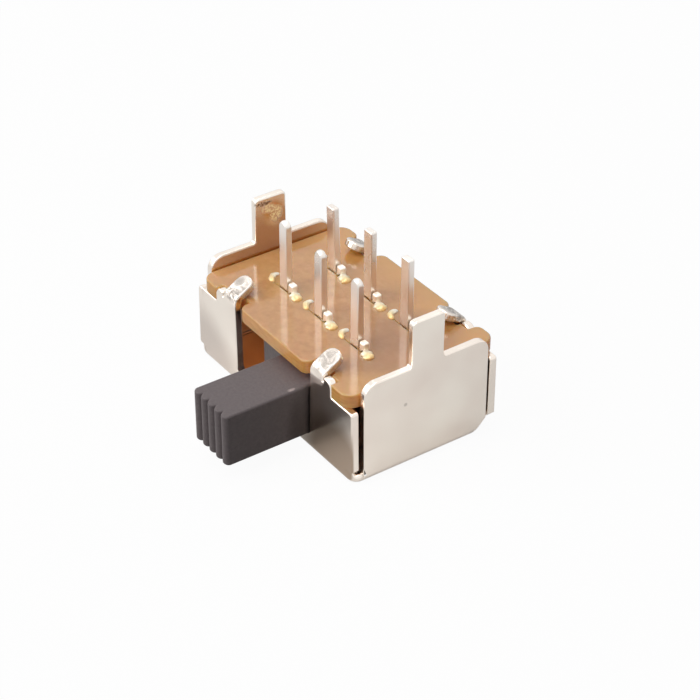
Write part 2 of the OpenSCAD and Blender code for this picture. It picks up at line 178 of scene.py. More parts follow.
def rounded_side(p, r, thick, f):
    """The side of a slab under the outline p: points and normals, one ring of them for each angle f.
    Ring at angle f: the outline moved in by r (1 - cos f), at height r (1 + sin f) from the nearer face.
    Its normal is cos f along the outline's own normal and sin f along w."""
    before, after = np.roll(p, 1, 0), np.roll(p, -1, 0)
    e1 = (p - before) / np.linalg.norm(p - before, axis=1)[:, None]
    e2 = (after - p) / np.linalg.norm(after - p, axis=1)[:, None]
    n1, n2 = e1[:, ::-1] * [1, -1], e2[:, ::-1] * [1, -1]
    mitre = (n1 + n2) / np.maximum(1 + (n1 * n2).sum(1), 0.7)[:, None]
    along = after - before
    out = along[:, ::-1] * [1, -1] / np.linalg.norm(along, axis=1)[:, None]
    r = np.broadcast_to(r, len(p))[None]
    low_half = (np.arange(len(f)) < len(f) // 2)[:, None]
    rise = np.sin(f)[:, None]
    w = np.where(low_half, r * (1 + rise), thick - r * (1 - rise))
    ring = p[None] - mitre[None] * (r * (1 - np.cos(f))[:, None])[..., None]
    flat = np.broadcast_to(out[None], ring.shape) * np.cos(f)[:, None, None]
    upright = np.broadcast_to(rise[..., None], ring[..., :1].shape)
    co = np.concatenate([ring, w[..., None]], -1).reshape(-1, 3)
    return co, np.concatenate([flat, upright], -1).reshape(-1, 3)


# %% The slab
def ring_quads(rings, n):
    """Quads between neighbouring rings of n points: point i of ring k is k n + i."""
    k, i = np.meshgrid(np.arange(rings - 1), np.arange(n), indexing="ij")
    j = (i + 1) % n
    return np.stack([k * n + i, k * n + j, (k + 1) * n + j, (k + 1) * n + i], -1).reshape(-1, 4)


def slab(loops, thick, edge=EDGE, extra=(), steps=3):
    """A closed slab over the loops, the first anticlockwise and holes clockwise, from w = 0 to w = thick.
    The edge radius may change from point to point of an outline. The flat faces also get the extra points."""
    edge = [edge] * len(loops) if np.isscalar(edge) else edge
    f = np.radians(np.concatenate([np.linspace(-90, 0, steps + 1), np.linspace(0, 90, steps + 1)]))
    rings = len(f)
    co, no, faces, starts, start = [], [], [], [], 0
    for p, r in zip(loops, edge):
        points, normals = rounded_side(p, r, thick, f)
        co.append(points)
        no.append(normals)
        faces.append(start + ring_quads(rings, len(p)))
        starts.append((start, len(p)))
        start += rings * len(p)
    co, no = np.concatenate(co), np.concatenate(no)
    low = np.concatenate([s + np.arange(n) for s, n in starts])
    high = np.concatenate([s + (rings - 1) * n + np.arange(n) for s, n in starts])
    extra, tris = triangulated([co[s:s + n, :2] for s, n in starts], np.asarray(extra, float).reshape(-1, 2))
    m = len(extra)
    co = np.concatenate([co, np.c_[extra, np.zeros(m)], np.c_[extra, np.full(m, thick)]])
    no = np.concatenate([no, np.tile([0, 0, -1.0], (m, 1)), np.tile([0, 0, 1.0], (m, 1))])
    low = np.concatenate([low, start + np.arange(m)])
    high = np.concatenate([high, start + m + np.arange(m)])
    return co, no, [*np.concatenate(faces).tolist(), *low[tris[:, ::-1]].tolist(), *high[tris].tolist()]


print("a plain square slab:", len(slab([rounded([(0, 0, 0), (1, 0, 0), (1, 1, 0), (0, 1, 0)])], 1)[2]), "faces")

# %% Pieces from parts
STAND = [[1, 0, 0], [0, 0, -1], [0, 1, 0]]  # stands an X-Z outline up, with its thickness along -Y
AS_IT_IS = np.eye(3)


def placed(part, matrix, offset=(0, 0, 0)):
    """The part turned by a 3x3 matrix and moved. A matrix that mirrors turns the faces round again."""
    co, no, faces = part
    m = np.array(matrix, float)
    if np.linalg.det(m) < 0:
        faces = [f[::-1] for f in faces]
    return co @ m.T + offset, no @ m.T, faces


def new_object(name, data):
    """A new object in the scene."""
    obj = bpy.data.objects.new(name, data)
    scene.collection.objects.link(obj)
    return obj


def new_piece(name, points, faces, finish, smooth=True):
    """A mesh object with one finish, from points in millimetres."""
    mesh = bpy.data.meshes.new(name)
    mesh.from_pydata((points * MM).tolist(), [], faces)
    mesh.polygons.foreach_set("use_smooth", np.full(len(mesh.polygons), smooth))
    mesh.materials.append(finish)
    return new_object(name, mesh)


def build(name, parts, finish, body, node):
    """One piece from parts, with the exact normals given to it. It takes the place of a CAD node."""
    co, no, faces, at = [], [], [], 0
    for c, n, f in parts:
        co.append(c)
        no.append(n)
        faces += [[at + i for i in face] for face in f]
        at += len(c)
    piece = new_piece(name, np.concatenate(co), faces, finish)
    normals = np.concatenate(no)
    normals /= np.linalg.norm(normals, axis=1)[:, None]
    piece.data.normals_split_custom_set_from_vertices(normals.tolist())
    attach(piece, body)
    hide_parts(node)
    print(name, len(piece.data.vertices), "points,", len(piece.data.polygons), "faces")
    return piece

# %% [markdown]
# ## Finishes
# Colours are written as sRGB hex values, as a colour picker shows them, and one function makes them linear.
# Two more add a node with its settings and links, and a noise of a given size.

# %% Colour and node helpers
MIX_A, MIX_B, MIX_OUT = 6, 7, 2  # the colour sockets of a mix node


def linear(hex_colour):
    """Linear RGBA of an sRGB hex value: v / 12.92 up to 0.04045, else ((v + 0.055) / 1.055) ^ 2.4."""
    v = np.array([int(hex_colour[i:i + 2], 16) / 255 for i in (1, 3, 5)])
    return (*np.where(v <= 0.04045, v / 12.92, ((v + 0.055) / 1.055) ** 2.4), 1.0)


def add(tree, kind, inputs=None, stops=(), **settings):
    """Adds one shader node, sets its settings, and gives each input a value or a link. A node given as an
    input means its first output. The stops are a colour ramp's (place, colour) pairs."""
    n = tree.nodes.new("ShaderNode" + kind)
    for key, value in settings.items():
        setattr(n, key, value)
    if stops:
        elements = n.color_ramp.elements
        while len(elements) < len(stops):
            elements.new(0.5)
        for element, (place, colour) in zip(elements, stops):
            element.position, element.color = place, linear(colour)
    for key, value in (inputs or {}).items():
        value = value.outputs[0] if isinstance(value, bpy.types.Node) else value
        if isinstance(value, bpy.types.NodeSocket):
            tree.links.new(value, n.inputs[key])
        else:
            n.inputs[key].default_value = value
    return n


def material(name):
    """A new material with an emptied node tree, and that tree."""
    m = bpy.data.materials.new(name)
    m.use_nodes = True
    m.node_tree.nodes.clear()
    return m, m.node_tree


def noise(tree, place, size, **inputs):
    """Noise on Object coordinates, with features of that size in millimetres."""
    return add(tree, "TexNoise", {"Vector": place, "Scale": 1 / (size * MM), **inputs})


print("mid grey #808080 is", round(linear("#808080")[0], 3))

# %% [markdown]
# ### Worn and tinted places
# A mark on a real piece, and a painted shade or highlight too, has a place, a size and a strength. Of two small
# functions, which every finish below uses, one fades a mark out round its middle, and one moves a colour
# towards the mark's.

# %% Worn and tinted places
def spot(tree, place, centre, size):
    """1 near the centre, falling smoothly to 0 from 0.8 to 1.5 times the half sizes `size`, all in mm."""
    off = add(tree, "VectorMath", {0: place, 1: tuple(v * MM for v in centre)}, operation="SUBTRACT")
    unit = add(tree, "VectorMath", {0: off, 1: tuple(v * MM for v in size)}, operation="DIVIDE")
    far = add(tree, "VectorMath", {0: unit}, operation="LENGTH")
    return add(tree, "MapRange", {"Value": far.outputs["Value"], "From Min": 1.5, "From Max": 0.8},
               interpolation_type="SMOOTHSTEP")


def tinted(tree, colour, here, share, tint):
    """The colour moved towards the tint by here x share."""
    much = add(tree, "Math", {0: here, 1: share}, operation="MULTIPLY")
    return add(tree, "Mix", {"Factor": much, MIX_A: colour, MIX_B: linear(tint)},
               data_type="RGBA").outputs[MIX_OUT]


# A worn place of a metal, or a place where shade or a reflection is painted into its colour. Its grain and the
# depth of its bump are in mm, and without a grain it is only tinted. With all_four it is given for one quarter
# of the case and lies in all four.
WearAndShade = namedtuple("WearAndShade", "centre size tint share grain bump roughness all_four", defaults=(0, 0, 0, False))
print("a worn place has", ", ".join(WearAndShade._fields))

# %% [markdown]
# ### Plated metal
# All the metals here are bright, rolled or drawn, and most are thinly plated. The eye sees a nearly mirror-
# like surface that is a little warm, with soft waves from the press and a faint grain. Metallic is 1, the
# roughness is that of a semi-bright plate and drifts a little, and waves and grain are two very low bumps.

# %% Plated metal
def plated(name, colour, dull, rough, wave=0.5, worn_and_shaded=()):
    """A bright plated metal: a colour and a roughness that drift a little, and a wavy, grained bump. In each
    worn place, and in each place of painted shade or reflection, the colour is tinted, and where that place has
    a grain it is mottled and beaten too."""
    m, t = material(name)
    place = add(t, "TexCoord").outputs["Object"]
    folded = add(t, "VectorMath", {0: place}, operation="ABSOLUTE")
    drift = noise(t, place, 2.6)
    colours = add(t, "ValToRGB", {"Fac": drift}, stops=[(0.3, dull), (0.7, colour)])
    grain_place = add(t, "Mapping", {"Vector": place, "Scale": (1.0, 1.0, 0.12)})
    grain = noise(t, grain_place, 0.06)
    roughness = add(t, "MapRange", {"Value": drift, "To Min": rough * 0.75, "To Max": rough * 1.3})
    waves = noise(t, place, 1.5, Detail=1.0, Roughness=0.4)
    low = add(t, "Bump", {"Height": waves, "Strength": wave, "Distance": 0.02 * MM})
    bump = add(t, "Bump", {"Height": grain, "Strength": 0.1, "Distance": 0.002 * MM, "Normal": low})
    for patch in worn_and_shaded:
        here = spot(t, folded if patch.all_four else place, patch.centre, patch.size)
        if not patch.grain:
            colours = tinted(t, colours, here, patch.share, patch.tint)
            continue
        beaten = noise(t, place, patch.grain, Detail=1.5, Distortion=0.4)
        smear = add(t, "MapRange", {"Value": beaten, "From Min": 0.6, "From Max": 0.42, "To Max": patch.share})
        colours = tinted(t, colours, here, smear, patch.tint)
        bump = add(t, "Bump", {"Height": beaten, "Strength": here, "Distance": patch.bump * MM, "Normal": bump})
        roughness = add(t, "Mix", {"Factor": here, 2: roughness, 3: patch.roughness})
    shader = add(t, "BsdfPrincipled", {
        "Base Color": colours, "Metallic": 1.0, "Roughness": roughness, "Normal": bump})
    add(t, "OutputMaterial", {"Surface": shader})
    print(name, "has", len(t.nodes), "nodes")
    return m


# %% [markdown]
# ### Nickel on the steel case
# The case is nickel plate over rolled and pressed steel. It is clean, except where a tool or a hand has been:
# the crimping punch beat the four tabs dull and mottled, a rub on the inner face of one leg has worn the plate
# golden, with a grey smudge above it, and one end wall has a small dark dot. On the end walls' inner faces and
# at the foot of the front wall a reflection is painted into the colour: browner, like the board mirrored in
# them, and darker at the foot, like the shadowed ground and the handle mirrored there.

# %% Nickel on the steel case
tabs_place, tabs_size = (3.14, 2.9, 4.3), (0.5, 0.5, 0.42)
rear_tab_size = (0.45, 0.45, 0.3)
case_wear_and_shade = [
    # the four tabs, and then three of them alone
    WearAndShade(tabs_place, tabs_size, "#CFC8C1", 0.6, all_four=True),
    WearAndShade(tabs_place, tabs_size, "#8A8078", 0.4, 0.42, 0.03, 0.2, all_four=True),
    WearAndShade((-3.1, -3.1, 4.15), (0.5, 0.4, 0.2), "#847C75", 0.7, 0.13, 0.03, 0.25),
    WearAndShade((-3.14, 3.05, 4.3), rear_tab_size, "#7C746D", 0.75, 0.16, 0.05, 0.25),
    WearAndShade((3.14, 3.05, 4.3), rear_tab_size, "#7C746D", 0.75, 0.16, 0.05, 0.25),
    # painted reflection: the end walls' inner faces tinted browner, like the board they face, and both ends
    # of the front wall's foot darker, like the shadowed ground and the handle
    WearAndShade((5.18, 0.0, 4.6), (0.16, 3.4, 1.6), "#C2A48C", 0.95, all_four=True),
    WearAndShade((-5.5, -3.5, -0.5), (2.6, 0.1, 2.5), "#CFC4BB", 0.9),
    WearAndShade((4.5, -3.5, 0.6), (1.7, 0.1, 1.7), "#A8937F", 0.9),
    # the leg's golden rub, speckled in two places, and the smudge above it
    WearAndShade((-5.3, 0.08, 5.98), (0.2, 0.4, 0.36), "#D8A868", 0.7),
    WearAndShade((-5.3, -0.14, 6.1), (0.2, 0.26, 0.2), "#FFF6D0", 1.0, 0.07, 0.014, 0.5),
    WearAndShade((-5.3, 0.24, 5.76), (0.2, 0.28, 0.32), "#FFF6D0", 1.0, 0.07, 0.014, 0.5),
    WearAndShade((-5.3, -0.38, 6.40), (0.2, 0.34, 0.10), "#6E5A4A", 0.9, 0.14, 0.01, 0.3),
    # the dot on the +X end wall
    WearAndShade((5.65, -1.05, 3.03), (0.1, 0.07, 0.07), "#8A7C72", 0.4)]
nickel = plated("nickel_plated_steel", "#FCF4E9", "#F2E6DB", 0.2, worn_and_shaded=case_wear_and_shade)

# %% [markdown]
# ### The other metals
# The terminals are tin over brass, a shade greyer and softer in its shine than nickel. On the prongs the
# staking punch has bruised the tin, and the eye sees it paler and rougher. The contact clips are bare spring
# bronze, brown-gold, and the ball and the spring are bright unplated steel, the greyest metal here.

# %% The other metals
tinned = plated("tin_plated_brass", "#FAF5EF", "#EFE6DE", 0.28, 0.3)
staked = plated("staked_tin", "#FFFBF4", "#FFF2E0", 0.45, 0.3)
bronze = plated("bare_spring_bronze", "#D9A868", "#C08A48", 0.3)
bright = plated("bright_spring_steel", "#C9C7C4", "#B5B2AE", 0.22)

# %% [markdown]
# ### Paper laminate
# The terminal board is paper soaked in phenolic resin and pressed between mirror plates, so its faces are
# tan, glossy and faintly mottled by the paper. The punched edges are raw: rougher, lighter and yellower,
# with the paper's layers showing. The object-space normal tells the two apart, since only faces look up.
# Laminate this thin lets some light through, so the space below is brown, not black. The rim's warmer, lighter
# colour is painted light: a painted glow through the edges, strongest towards the rear, where the board is lit
# brighter.

# %% The laminate's glossy faces
laminate, t = material("phenolic_paper_laminate")
coord = add(t, "TexCoord")
place = coord.outputs["Object"]
paper = noise(t, place, 0.35, Detail=5.0, Roughness=0.6)
face = add(t, "ValToRGB", {"Fac": paper}, stops=[(0.3, "#CA9056"), (0.5, "#D69C60"), (0.75, "#E2AC72")])
cloud = noise(t, place, 2.5, Detail=1.0)
cloudy = add(t, "MapRange", {"Value": cloud, "From Min": 0.4, "From Max": 0.75})
clouded = tinted(t, face, cloudy, 0.5, "#DCB070")
# painted light: a warmer, lighter rim, outside an ellipse of half axes 5.24 and 3.58 mm about a point 1.2 mm
# in front of the middle, so that it is widest at the rear, where the board is lit brighter
moved = add(t, "VectorMath", {0: place, 1: (0.0, 1.2 * MM, 0.0)}, operation="ADD")
from_middle = add(t, "VectorMath", {0: moved, 1: (5.24 * MM, 3.58 * MM, 1.0)}, operation="DIVIDE")
far = add(t, "VectorMath", {0: from_middle}, operation="LENGTH")
rim = add(t, "MapRange", {"Value": far.outputs["Value"], "From Min": 0.8, "From Max": 1.3})
painted_rim_glow = tinted(t, clouded, rim, 0.9, "#EEB062")
# painted shade: the board's right end, towards the +X end wall, is darkened
shaded_board_right = tinted(t, painted_rim_glow, spot(t, place, (3.5, 0.4, 4.07), (1.7, 2.1, 0.4)), 0.65, "#B07C4E")
print("the faces take", len(t.nodes), "nodes")

# %% The laminate's raw edges
up = add(t, "SeparateXYZ", {"Vector": coord.outputs["Normal"]})
lift = add(t, "Math", {0: up.outputs["Z"]}, operation="ABSOLUTE")
cut = add(t, "MapRange", {"Value": lift, "From Min": 0.9, "From Max": 0.3})
layers_place = add(t, "Mapping", {"Vector": place, "Scale": (0.15, 0.15, 1.0)})
layers = noise(t, layers_place, 0.08, Detail=3.0)
raw = add(t, "ValToRGB", {"Fac": layers}, stops=[(0.3, "#E4A856"), (0.55, "#F6BE6A"), (0.75, "#FFD286")])
both = add(t, "Mix", {"Factor": cut, MIX_A: shaded_board_right, MIX_B: raw}, data_type="RGBA")
rough = add(t, "MapRange", {"Value": cut, "To Min": 0.16, "To Max": 0.55})
relief = add(t, "Bump", {"Height": paper, "Strength": 0.15, "Distance": 0.004 * MM})
edge_strength = add(t, "Math", {0: cut, 1: 0.5}, operation="MULTIPLY")
edge_relief = add(t, "Bump", {
    "Height": layers, "Strength": edge_strength, "Distance": 0.02 * MM, "Normal": relief})
print("faces and edges take", len(t.nodes), "nodes")

# %% The laminate's body, which lets light through
shader = add(t, "BsdfPrincipled", {
    "Base Color": both.outputs[MIX_OUT], "Roughness": rough, "IOR": 1.55, "Normal": edge_relief,
    "Subsurface Weight": 0.6, "Subsurface Radius": (1.0, 0.5, 0.16), "Subsurface Scale": 0.7 * MM,
    "Coat Weight": 0.8, "Coat Roughness": 0.07, "Coat IOR": 1.55})
glow = add(t, "BsdfTranslucent", {"Color": linear("#DDB48C")})
lets_through = add(t, "MapRange", {
    "Value": up.outputs["Z"], "From Min": -0.8, "From Max": 0.8, "To Min": 0.55, "To Max": 0.1})
body = add(t, "MixShader", {"Fac": lets_through, 1: shader, 2: glow})
add(t, "OutputMaterial", {"Surface": body})
print("laminate has", len(t.nodes), "nodes")

# %% [markdown]
# ### Moulded handle plastic
# The slider is moulded in a dark grey engineering plastic with a satin, lightly grained skin. It is not
# black: it scatters enough light to show its top paler than its sides. A small pale glint is painted on its
# top edge as a highlight, and painted shade darkens its right side at the root, where it disappears into the
# case's shade.

# %% Handle plastic
plastic, t = material("dark_grey_moulded_acetal")
place = add(t, "TexCoord").outputs["Object"]
speck = noise(t, place, 0.12, Detail=4.0)
flow = noise(t, place, 1.4)
specked = add(t, "ValToRGB", {"Fac": speck}, stops=[(0.3, "#685F60"), (0.7, "#797070")])
moulded = add(t, "Mix", {"Factor": flow, MIX_A: specked, MIX_B: linear("#706768")}, data_type="RGBA")
ragged = add(t, "MapRange", {"Value": speck, "From Min": 0.2, "From Max": 0.8})
# painted highlight: a small pale glint on the handle's top edge
glint_painted = tinted(t, moulded.outputs[MIX_OUT], spot(t, place, (2.46, -4.2, 3.13), (0.07, 0.14, 0.1)),
                 ragged, "#C4B6B2")
# painted shade: the handle's right side darker at its root, by the case
shaded = tinted(t, glint_painted, spot(t, place, (2.6, -3.5, 1.4), (0.15, 0.8, 1.6)), 0.55, "#3C3432")
skin = add(t, "Bump", {"Height": speck, "Strength": 0.25, "Distance": 0.006 * MM})
shader = add(t, "BsdfPrincipled", {
    "Base Color": shaded, "Roughness": 0.5, "IOR": 1.48, "Specular IOR Level": 0.3, "Normal": skin})
add(t, "OutputMaterial", {"Surface": shader})
print("handle plastic has", len(t.nodes), "nodes")

# %% [markdown]
# ### Crushed laminate
# Where a terminal was staked, its shoulders crushed the board's skin, and the crushed paper turned pale
# cream with a hard glint. The mark is palest at one end and fades to the board's orange at the other, which
# its own UV coordinate carries.

# %% Crushed laminate
crushed, t = material("crushed_pale_laminate")
coord = add(t, "TexCoord")
along = add(t, "SeparateXYZ", {"Vector": coord.outputs["UV"]})
grit = noise(t, coord.outputs["Object"], 0.12, Detail=3.0)
shift = add(t, "Math", {0: grit, 1: 0.4, 2: along.outputs["X"]}, operation="MULTIPLY_ADD")
faded = add(t, "Math", {0: shift, 1: 0.25}, operation="SUBTRACT")
pale = add(t, "ValToRGB", {"Fac": faded}, stops=[
    (0.0, "#FFFBF0"), (0.45, "#FFF1CC"), (0.75, "#FFE0A4"), (1.0, "#F8C67E")])
rub = add(t, "Bump", {"Height": grit, "Strength": 0.5, "Distance": 0.02 * MM})
shader = add(t, "BsdfPrincipled", {
    "Base Color": pale, "Metallic": 0.4, "Roughness": 0.3, "IOR": 1.5, "Normal": rub})
add(t, "OutputMaterial", {"Surface": shader})
print("crushed laminate has", len(t.nodes), "nodes")

# %% [markdown]
# ## The folded case
# The case is one stamped blank, folded up along four lines, and it is modelled the way it is made: the
# blank is drawn flat, as an outline in (u, s), and a fold function carries each flat point to its place. On
# the bottom s is the distance from the middle, round a fold it is the length of the arc, and on a wall it
# grows with the height. A point's depth w in the sheet goes along the sheet's inward normal.

# %% The lean beside a tab
QUARTER = OUT_R * pi / 2  # sheet used by a fold
TAB_ARC = BEND_R * (pi / 2 - TAB_SLOPE)  # sheet used by a tab's bend
LEAD_Z = 3.46  # where the sheet begins to lean
CREASE, CREASE_UP, CREASE_W = 0.22, 0.26, 0.16  # the crease's strength, height over the bend line, width
CREASE_DROP = 0.12  # how much lower it gets for each mm outwards
FADE_U, FADE_UP = 0.15, 0.25  # width of the lean's fading out beside a tab, and below its bend


def leaning(u, up, tab, t_out, t_up):
    """The sheet's direction where it leans towards a tab. The lean is the bend's whole angle x (share of the
    way up from LEAD_Z) ^ 1.3, less a crease exp(-(distance / width)^2), and fades out beside the tab."""
    lead = np.clip((up - LEAD_Z) / (BEND_Z + TAB_ARC - LEAD_Z), 0, 1)
    off_crease = up - BEND_Z - CREASE_UP + CREASE_DROP * (abs(u) - TAB_IN)
    lean = TAB_ARC / BEND_R * lead ** 1.3 - CREASE * np.exp(-(off_crease / CREASE_W) ** 2)
    near = np.clip((LUG_SLIT + 0.1 - abs(u)) / FADE_U, 0, 1) * np.clip((BEND_Z + 0.02 - up) / FADE_UP, 0, 1)
    near = np.where(abs(u) < TAB_OUT - 0.05, 1, near) * (abs(u) > TAB_IN - 0.1) * (up > LEAD_Z)
    near = np.maximum(near, tab)
    turn = near * lean + (1 - near) * np.arctan2(-t_out, t_up)
    return np.where(up > LEAD_Z, -np.sin(turn), t_out), np.where(up > LEAD_Z, np.cos(turn), t_up)


print("a fold uses", round(QUARTER, 3), "mm of sheet, a tab's bend", round(TAB_ARC, 3), "mm")

# %% The fold
def fold(part, plate, tabs=False):
    """Carries (u, s, w) to (u, out, up): flat to the distance plate, round an arc of radius OUT_R, then
    straight up. With tabs, what lies past their bend line and inside their outer edge goes round a second
    arc, inwards. The sheet's lean there and its crease are small, so only the normals have them."""
    co, no, faces = part
    u, s, w = co.T
    side, d = np.where(s < 0, -1.0, 1.0), abs(s)
    a = np.clip((d - plate) / OUT_R, 0, pi / 2)
    out = np.minimum(d, plate) + OUT_R * np.sin(a)
    up = wall_up = OUT_R * (1 - np.cos(a)) + np.maximum(d - plate - QUARTER, 0)
    t_out, t_up = np.cos(a), np.sin(a)
    if tabs:
        past = up - BEND_Z
        tab = (past > 0) & (abs(u) < (TAB_OUT + LUG_SLIT) / 2)
        b = np.clip(past / BEND_R, 0, TAB_ARC / BEND_R)
        on = np.maximum(past - TAB_ARC, 0)
        out = np.where(tab, BEND_Y + BEND_R * np.cos(b) - on * np.sin(b), out)
        up = np.where(tab, BEND_Z + BEND_R * np.sin(b) + on * np.cos(b), up)
        t_out, t_up = np.where(tab, -np.sin(b), t_out), np.where(tab, np.cos(b), t_up)
    co = np.stack([u, side * (out - t_up * w), up + t_out * w], 1)
    if tabs:
        t_out, t_up = leaning(u, wall_up, tab, t_out, t_up)
    nu, ns, nw = no.T
    ns = side * ns
    return co, np.stack([nu, side * (ns * t_out - nw * t_up), ns * t_up + nw * t_out], 1), faces


def wall_s(z, plate):
    """Flat distance of a height z on the wall."""
    return z - OUT_R + plate + QUARTER


def fold_lines(plate, steps=8):
    """Flat distances of the lines at which an outline gets points, so that the fold is round."""
    return plate + QUARTER * np.arange(steps + 1) / steps


def by_height(s, slit):
    """Rounding of the cut edges: FINE_EDGE to 0.1 mm above the slit's foot, then growing to EDGE at 0.5 mm."""
    return FINE_EDGE + (EDGE - FINE_EDGE) * np.clip((s - slit - 0.1) / 0.4, 0, 1)


def rear_cut(x, plate):
    """The slanted rear cut round the fold: x + R (1 - cos a), plate + R a."""
    return [(x + OUT_R * (1 - cos(a)), plate + OUT_R * a, 0) for a in np.linspace(0.1, pi / 2, 7)]


def grid(us, ss):
    """Every (u, s) of two lists."""
    u, s = np.meshgrid(us, ss)
    return np.stack([u.ravel(), s.ravel()], 1)


print("a long wall's top lies", round(wall_s(SHOULDER, PLATE_Y), 3), "mm from the blank's middle")

# %% [markdown]
# The long strip runs from the top of the rear wall, under the bottom, to the top of the front wall. Its
# front half has the handle's window. Both walls carry a lug and a crimping tab at each end.

# %% The long strip's outline
def at_wall(z):
    """Flat distance of a height z on a long wall."""
    return wall_s(z, PLATE_Y)


bend_s, tip_s = at_wall(BEND_Z), at_wall(BEND_Z) + TAB_ARC + TAB_L
lug_and_tab = [
    (WALL_HALF, at_wall(SHOULDER), 0.16), (LUG_OUT, at_wall(SHOULDER), 0.05), (LUG_OUT, at_wall(LUG_TOP), 0.34),
    (LUG_SLIT, at_wall(LUG_TOP), 0.09), (LUG_SLIT, bend_s - 0.02, 0), (TAB_OUT, bend_s - 0.02, 0),
    (TAB_OUT, tip_s, TAB_TIP_R), (TAB_IN, tip_s, TAB_TIP_R)]
front_half = [
    (CORNER_X, PLATE_Y, 0), (CORNER_X, at_wall(FRONT_SLIT_Z), 0), (WALL_HALF, at_wall(FRONT_SLIT_Z), 0.12),
    *lug_and_tab, (WINDOW, at_wall(SILL), 0.25)]
joint_y = CUT_Y + (PLATE_X - CORNER_X) * (PLATE_Y - CUT_Y) / (PLATE_X - CUT_X)
rear_half = [
    (CORNER_X, joint_y, 0), (CUT_X, PLATE_Y, 0), *rear_cut(CUT_X, PLATE_Y), (WALL_HALF, at_wall(SLIT_Z), 0.05),
    *lug_and_tab, (WINDOW, at_wall(SHOULDER), 0.1)]
rear_down = [(x, -s, r) for x, s, r in rear_half]
outline = rounded(front_half + mirrored(front_half) + [(-x, s, r) for x, s, r in rear_down] + rear_down[::-1])
print("the blank is", round(np.ptp(outline[:, 1]), 2), "mm long")

# %% The long strip
GRID, TAB_GRID = 0.14, 14  # spacing of the inner points, and their number across a tab
lines = fold_lines(PLATE_Y)
tab_lines = np.concatenate([at_wall(np.linspace(LEAD_Z, BEND_Z, 6)), bend_s + TAB_ARC * np.arange(1, 13) / 12,
                            bend_s + TAB_ARC + TAB_L * np.array([0.25, 0.5, 0.75])])
every = np.concatenate([lines, tab_lines])
outline = crossed(outline, np.concatenate([every, -every]))
across = np.linspace(TAB_IN - 0.1, TAB_OUT + 0.3, TAB_GRID)
inner = np.concatenate([grid(np.arange(-5.5, 5.51, GRID), np.concatenate([lines, -lines])),
                        grid(np.concatenate([across, -across]), np.concatenate([tab_lines, -tab_lines]))])
detent_holes = [circle(x, DETENT_Y, DETENT_R) for x in (-DETENT_X, DETENT_X)]
edges = [by_height(abs(outline[:, 1]), at_wall(SLIT_Z)), FINE_EDGE, FINE_EDGE]
strip = placed(fold(slab([outline, *detent_holes], SHEET, edges, inner), PLATE_Y, tabs=True),
               [[1, 0, 0], [0, -1, 0], [0, 0, 1]])
print("long strip:", len(strip[0]), "points")

# %% [markdown]
# An end wall with its mounting leg is folded up from the bottom in the same way, and the other one is its
# mirror image. The front corners can't be folded, because they bend two ways at once: the press draws them.
# Each is the fold's own section turned a quarter of the way round, and its rim dips where the slit's relief
# hole was punched.

# %% The end walls
FOOT_R = 0.09  # small round step from an end wall to the drawn corner
MIRROR_X = [[-1, 0, 0], [0, 1, 0], [0, 0, 1]]


def at_end(z):
    """Flat distance of a height z on an end wall."""
    return wall_s(z, PLATE_X)


corner_foot = [(-CORNER_Y - FOOT_R * cos(a), CORNER_X + FOOT_R * sin(a), 0)
               for a in np.linspace(pi / 2, 0, 5)]
top = [(END_HALF, at_end(END_TOP), 0.6), (LEG_HALF, at_end(END_TOP), 0.14), (LEG_HALF, at_end(LEG_TOP), 0.2)]
end_outline = rounded([
    (joint_y, CORNER_X, 0), (CUT_Y, PLATE_X, 0), *rear_cut(CUT_Y, PLATE_X), (END_HALF, at_end(SLIT_Z), 0.06),
    *top, *mirrored(top), (-END_HALF, at_end(SLIT_Z), 0.03), (-CORNER_Y, at_end(SLIT_Z), 0), *corner_foot])
lines = fold_lines(PLATE_X)
end_outline = crossed(end_outline, lines)
flat = slab([end_outline], SHEET, [by_height(end_outline[:, 1], at_end(SLIT_Z))],
            grid(np.arange(-3, 3.01, GRID), lines))
end = placed(fold(flat, PLATE_X), [[0, 1, 0], [1, 0, 0], [0, 0, 1]])
print("end wall:", len(end[0]), "points")

# %% The drawn corners
RELIEF, RELIEF_AT, RELIEF_HALF = 0.5, 25, 22  # depth in mm, place and half width in degrees
SLIT_DIP, SLIT_HALF = 0.3, 2.5  # the same for the dip at the end wall's slit


